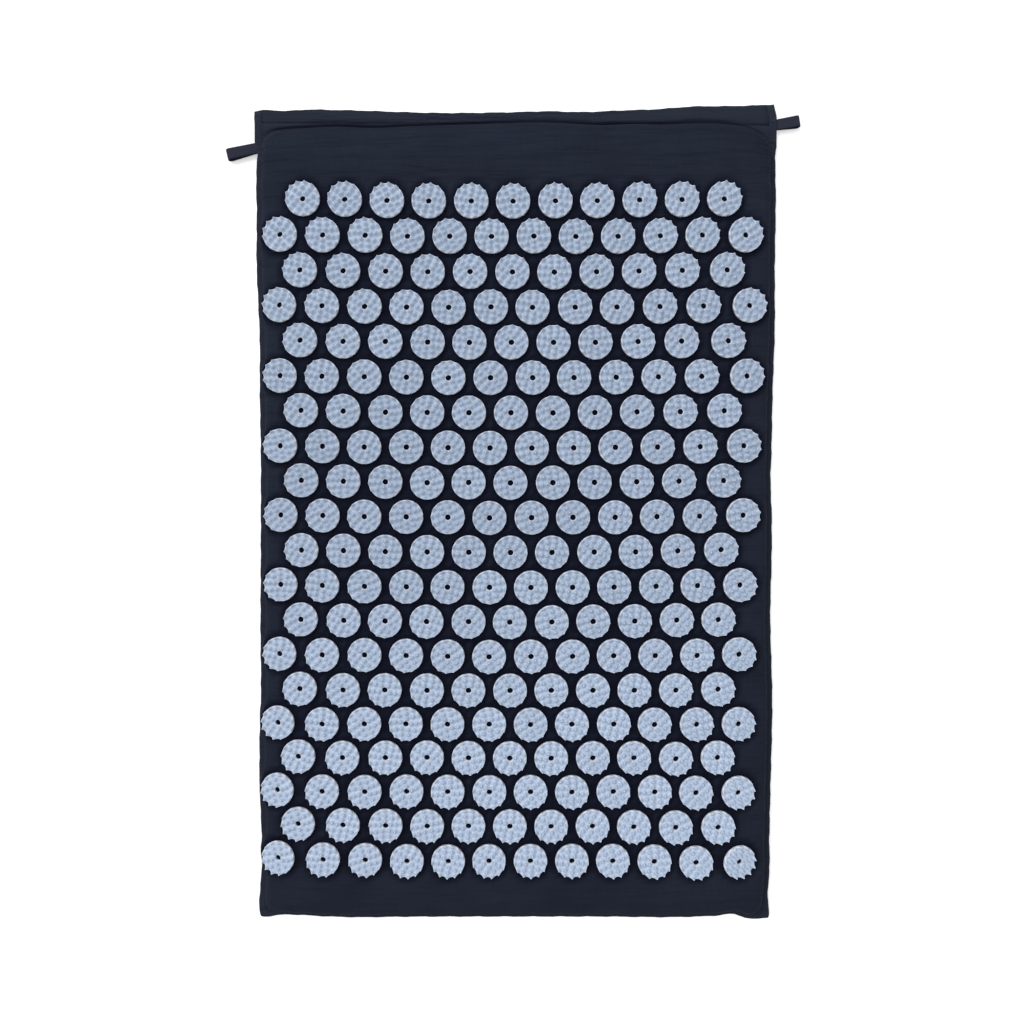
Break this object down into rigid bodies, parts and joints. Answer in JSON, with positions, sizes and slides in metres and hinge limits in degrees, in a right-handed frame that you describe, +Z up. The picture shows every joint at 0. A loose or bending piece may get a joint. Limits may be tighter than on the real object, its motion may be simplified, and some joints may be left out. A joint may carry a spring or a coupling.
{
  "type": "acupressure mat",
  "caption": "Acupressure mat: foam pad in a navy cloth cover, with rows of spiked plastic discs on top and two hanging loops at the head end.",
  "frame": {"origin": "on the floor under the middle of the cover, on the flat underside", "axes": "+Y towards the head end, where the mouth and the hanging loops are, +X to the right seen from above with the head end up, +Z up"},
  "size_m": [0.4551, 0.648, 0.0263],
  "materials": {
    "cover_cloth": "matte navy cotton, plain weave",
    "disc_plastic": "frosted pale blue moulded plastic with satin highlights",
    "foam": "open cell foam",
    "webbing": "navy woven tape",
    "thread": "navy sewing thread",
    "closing_tape": "black hook and loop tape"
  },
  "bodies": {
    "pad": {"foam_pad": "foam", "cover_top_panel": "cover_cloth", "cover_bottom_panel": "cover_cloth", "mouth_hook_tape": "closing_tape", "seam_needle_thread": "thread", "seam_bobbin_thread": "thread", "spike_disc_row_01": "disc_plastic", "spike_disc_row_02": "disc_plastic", "spike_disc_row_03": "disc_plastic", "spike_disc_row_04": "disc_plastic", "spike_disc_row_05": "disc_plastic", "spike_disc_row_06": "disc_plastic", "spike_disc_row_07": "disc_plastic", "spike_disc_row_08": "disc_plastic", "spike_disc_row_09": "disc_plastic", "spike_disc_row_10": "disc_plastic", "spike_disc_row_11": "disc_plastic", "spike_disc_row_12": "disc_plastic", "spike_disc_row_13": "disc_plastic", "spike_disc_row_14": "disc_plastic", "spike_disc_row_15": "disc_plastic", "spike_disc_row_16": "disc_plastic", "spike_disc_row_17": "disc_plastic", "spike_disc_row_18": "disc_plastic", "spike_disc_row_19": "disc_plastic", "spike_disc_row_20": "disc_plastic"},
    "mouth": {"mouth_flap": "cover_cloth", "mouth_loop_tape": "closing_tape"},
    "left_loop": {"hang_loop_left": "webbing"},
    "right_loop": {"hang_loop_right": "webbing"}
  },
  "joints": [
    {"name": "mouth_opening", "type": "hinge", "parent": "pad", "child": "mouth", "pos_m": [0, 0.3133, 0.004], "axis": [1, 0, 0], "range_deg": [0, 100]},
    {"name": "left_loop_swing", "type": "hinge", "parent": "pad", "child": "left_loop", "pos_m": [-0.20658, 0.2936, 0.00335], "axis": [0, 1, 0], "range_deg": [0, 90]},
    {"name": "right_loop_swing", "type": "hinge", "parent": "pad", "child": "right_loop", "pos_m": [0.20676, 0.3138, 0.00335], "axis": [0, -1, 0], "range_deg": [0, 90]}
  ]
}
